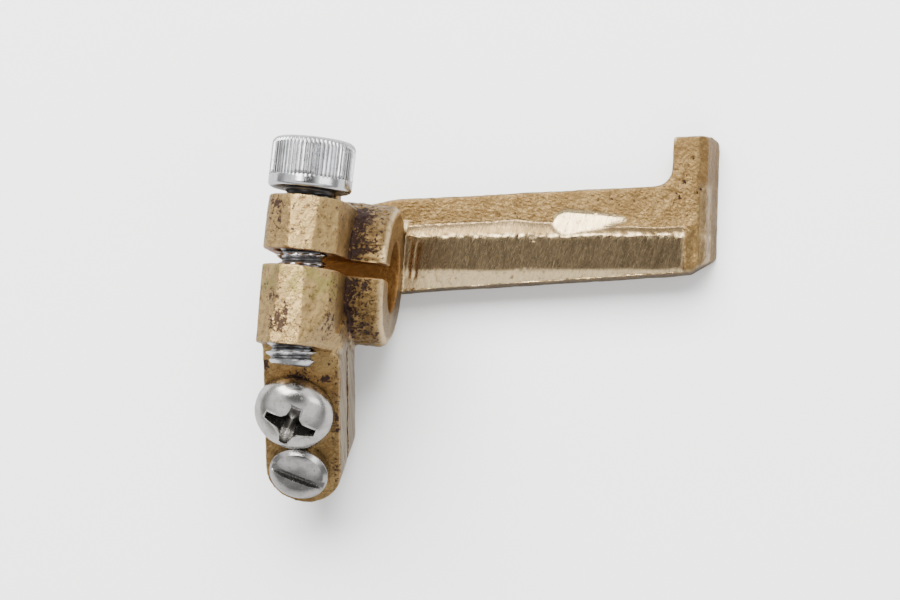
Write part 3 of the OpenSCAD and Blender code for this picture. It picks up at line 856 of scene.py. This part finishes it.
def makeCastArm():
    c = casting
    mesh = remeshedNode("clamp_arm")
    points, edges = readMesh(mesh)
    count = np.bincount(edges.ravel(), minlength=len(points)).astype(float)
    print("cast arm points", len(points))

    # hollows: how far a well relaxed copy lies outside the surface
    soft = points.copy()
    for step in range(24):
        soft = neighbourMean(soft, edges, count)
    normals = meshNormals(mesh, points)
    cavity = np.clip(np.einsum("ij,ij->i", soft - points, normals) / 0.28, 0, 1)
    wearAndSheen = smooth(np.einsum("ij,ij->i", points - soft, normals), 0.16, 0.34)
    points, filed = fileJaws(points)
    for step in range(c["relax"]):
        points = points * 0.4 + neighbourMean(points, edges, count) * 0.6
    points, ground = grindFront(points, meshNormals(mesh, points))
    points, oval = fileOval(points)
    points = points * 0.5 + neighbourMean(points, edges, count) * 0.5
    x, y, z = points.T

    # zones: ground front of the arm, cast skin on the barrel, bore and slit
    normals = meshNormals(mesh, points)
    radial = np.hypot(y, z)
    ground = np.maximum(ground, oval)
    endGround = smooth(normals[:, 0], 0.5, 0.8) * (x > 29.3) * smooth(z, -6.0, -5.4)
    endGround = endGround * (y > 3.6) * (1 - smooth(y, 10.4, 11.2))
    outside = (radial > c["barrelR"] - 0.5) & (x < 4.9) & (radial < c["barrelR"] + 0.4 + (x > 1.8) * 0.3)
    skin = outside * (1 - smooth(x, 4.3, 4.8)) * (1 - smooth(-z, 3.2, 4.0) * (x > 3.9))
    slit = (np.abs(y) < 0.72) & (z > 2) & (np.abs(normals[:, 1]) > 0.5)
    bore = 1 - smooth(np.abs(radial - 2.975), 0.12, 0.25)

    # cast skin: coarse pitting on the barrel, fine lumps elsewhere
    lumps = valueNoise(points, 0.5, 3) * 0.6 + valueNoise(points, 0.27, 5) * 0.4
    holes = 1 - smooth(cellNoise(points, 0.62, 11), 0.12, 0.5)
    shift = skin * (lumps * c["skinDepth"] - holes * c["pitDepth"])
    wavy = valueNoise(points, 1.6, 21) * 0.045 + valueNoise(points, 0.6, 23) * 0.02
    dry = np.maximum(np.maximum(skin, ground), filed * 0.6)
    shift = shift + (1 - dry) * wavy
    for spot, half, depth in c["rootGrooves"]:
        cut = rootGroove(x, y, spot, half)
        shift = shift - cut * depth * (z < c["crownZ"] + 0.1) * (normals[:, 2] > 0.3)
    shift = shift * (1 - bore) * np.where(slit, 0.3, 1)
    points = points + normals * shift[:, None]

    pits = np.zeros(len(points))
    draw = np.random.default_rng(8)
    for middle, spread, number in c["pitClusters"]:
        for spot in np.array(middle) + draw.normal(size=(number, 3)) * spread:
            size = draw.uniform(0.09, 0.17)
            gap = np.hypot(points[:, 0] - spot[0], points[:, 1] - spot[1])
            dent = np.exp(-(gap / size) ** 2) * (points[:, 2] > -4.6) * (points[:, 0] > 5)
            points = points - normals * (dent * size * 0.9)[:, None]
            pits = np.maximum(pits, smooth(dent, 0.35, 0.75))

    # the spot face under the screw's head stays flat
    fromScrew = np.hypot(points[:, 0] - c["screwX"], points[:, 2] - c["screwZ"])
    seat = (fromScrew < c["seatR"]) & (np.abs(points[:, 1] - c["seatY"]) < c["seatBand"])
    points[:, 1] = np.where(seat, np.minimum(points[:, 1], c["seatY"] - c["seatDrop"]), points[:, 1])

    x, y, z = points.T
    slow = valueNoise(points, 1.5, 41) * 0.5 + 0.5
    band = np.exp(-((x - 2.05) / 0.55) ** 2) * (z > 2.6)
    # soot sets how thick the dark oxide specks lie: on the barrel's skin, a band where the jaws meet the
    # barrel, the listed places and the hollows
    sootAndShade = skin * (0.45 - 0.06 * smooth(x, 3.0, 4.4) + 0.34 * (slow - 0.5)) + band * 0.36
    sootAndShade = np.maximum(sootAndShade, bells(points, sootPlaces) * (0.55 + 0.6 * slow)) + cavity * 0.15 * (z > 3)
    sootAndShade = np.maximum(sootAndShade, 0.34 * slow * (z > 6.5) * (x < 1.75))
    sootAndShade = sootAndShade * (1 - ground) * (1 - bore) * np.where(slit, 0.4, 1)
    tilt = math.radians(tongue["tilt"])
    deep = z * math.cos(tilt) - y * math.sin(tilt)
    down = -y * math.cos(tilt) - z * math.sin(tilt)
    inCut = (np.abs(deep - c["sawMiddle"]) < 0.30) & (down > 3.4) & (z < 7)
    flank = (np.abs(x - tongue["centre"]) > 2.7) & (down > 2.0) & (deep > 3) & (deep < 9.5) & (x < 2.4)
    sawn = flank * smooth(np.abs(normals[:, 0]), 0.6, 0.9) * (1 - inCut)
    rim = (deep > 9.2) & (down > 1.5) & (x < 2.4)
    sootAndShade = np.maximum(sootAndShade, rim * np.exp(-((x - tongue["centre"] - 2.9) / 0.45) ** 2) * (0.30 + 0.30 * slow))
    # painted shade: the saw cut is filled with full soot, so it shows dark
    sootAndShade = np.where(inCut, 1.0, sootAndShade * (1 - 0.8 * sawn))
    # painted shade on the slit faces, the bore and the hollows; real stains at the listed places; darker in
    # the root grooves
    stainAndShade = np.maximum(slit, bore * 0.75)
    stainAndShade = np.maximum(stainAndShade, np.clip(cavity * 0.8 * (z > 2), 0, 1))
    stainAndShade = np.maximum(stainAndShade, bells(points, stainPlaces))
    patina = (smooth(-y, 0.3, 0.8) * (1 - smooth(-y, 2.2, 3.6))) * smooth(z, 7, 9) * (x < 1.9)
    grooveDark = np.zeros(len(points))
    for spot, half, depth in c["rootGrooves"]:
        cut = rootGroove(x, y, spot, half)
        grooveDark = np.maximum(grooveDark, cut * (z < c["crownZ"] + 0.1) * (x > 5))
    stainAndShade = np.maximum(stainAndShade, grooveDark * 0.6)
    # painted shade: the faces turned to +X at the arm's end are darkened
    endShade = 0.18 * smooth(x, 29.0, 29.6) * smooth(y, 10.4, 11.2) * smooth(normals[:, 0], 0.2, 0.5)
    stainAndShade = np.maximum(stainAndShade, endShade)
    ground = np.maximum(ground, endGround)
    mesh.vertices.foreach_set("co", (points * mm).ravel())
    sootAndShade = np.maximum(sootAndShade, pits)
    endWear = smooth(x, 4.25, 4.7) * (np.abs(radial - c["barrelR"]) < 0.7) * (x < 4.85) * 0.8
    along, across = ridgeFrame(points)
    wearAndSheen = np.maximum(wearAndSheen, endWear) * (1 - ground) * (1 - skin * 0.5)
    # painted highlight: a broken bright line along the ridge of the ground front, for its glints
    glint = np.exp(-((across - 0.08) / 0.20) ** 2) * ground * (x > 5.4)
    glint = glint * smooth(valueNoise(points, 0.4, 61), -0.4, 0.2)
    # painted highlight with bared metal: the oval file mark and the ground front's lower facet take the
    # bright worn colour
    polishAndSheen = np.maximum(oval * 0.9, ground * smooth(-across, 2.6, 3.0) * 0.85)
    wearAndSheen = np.maximum(np.maximum(wearAndSheen, glint), polishAndSheen)
    # paler on the barrel and jaws, less far down the tongue and on the skin
    paleAndBevelShade = smooth(z, -3.0, -1.5) * (1 - smooth(x, 4.7, 5.0)) * (1 - 0.7 * smooth(down, 2, 5) * (x < 2.4))
    paleAndBevelShade = paleAndBevelShade * (1 - 0.5 * skin)
    # painted shade: the bevel darkens towards the ridge and keeps its top edge bright, the lamp's highlight
    # on it
    width = np.interp(along, c["bevelPlaces"], c["bevelWidths"])
    dim = smooth(across, 0.0, 0.25) * (1 - 0.75 * smooth(across / width, 0.25, 0.95)) * (1 - oval)
    paleAndBevelShade = np.maximum(paleAndBevelShade * (1 - ground), dim * ground * (x > 4.8))
    for name, values in (("zones", (filed, ground, stainAndShade, wearAndSheen)), ("marks", (sootAndShade, paleAndBevelShade, patina, sawn))):
        colors = np.clip(np.stack(values, axis=1), 0, 1)
        mesh.attributes.new(name, "FLOAT_COLOR", "POINT").data.foreach_set("color", colors.ravel())
    mesh.materials.clear()
    mesh.materials.append(brassMaterial())
    mesh.shade_smooth()
    mesh.update()
    mesh.name = "castArm"
    piece = bpy.data.objects.new("castArm", mesh)
    bpy.context.scene.collection.objects.link(piece)

    # thinned where the surface is plain
    thin = piece.modifiers.new("thin", "DECIMATE")
    thin.ratio = c["mostTriangles"] / sum(len(face.vertices) - 2 for face in mesh.polygons)
    shown = bpy.context.evaluated_depsgraph_get()
    piece.data = bpy.data.meshes.new_from_object(piece.evaluated_get(shown))
    piece.modifiers.clear()
    print("cast arm faces", len(piece.data.polygons))
    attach(piece, "clamp_arm")
    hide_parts("clamp_arm")


makeCastArm()
print("cast arm made")
